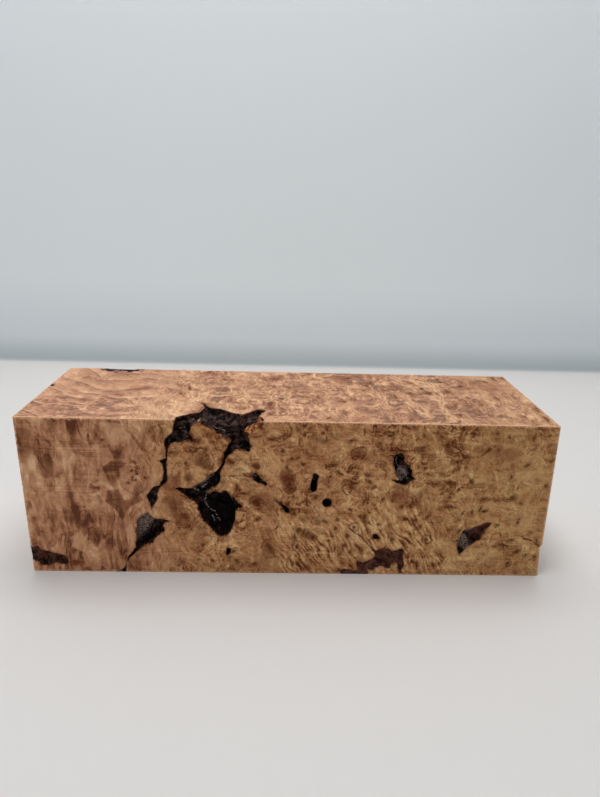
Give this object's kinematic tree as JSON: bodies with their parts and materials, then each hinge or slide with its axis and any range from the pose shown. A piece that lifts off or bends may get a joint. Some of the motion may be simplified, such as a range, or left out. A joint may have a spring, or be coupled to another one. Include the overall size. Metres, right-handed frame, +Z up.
{
  "type": "maple burl block",
  "caption": "Squared block of maple burl with ingrown bark pockets, for turning or carving; rests flat on its lower face.",
  "frame": {"origin": "middle of the lower face, on the surface that the block rests on", "axes": "+X along the block, -Y out of the face with the long seam of bark, +Z up"},
  "size_m": [0.1528, 0.049, 0.049],
  "materials": {
    "burl_wood": "sawn, dry and unsealed, with near-black glossy bark in the pockets"
  },
  "bodies": {
    "root": {"burl_block": "burl_wood"}
  },
  "joints": []
}
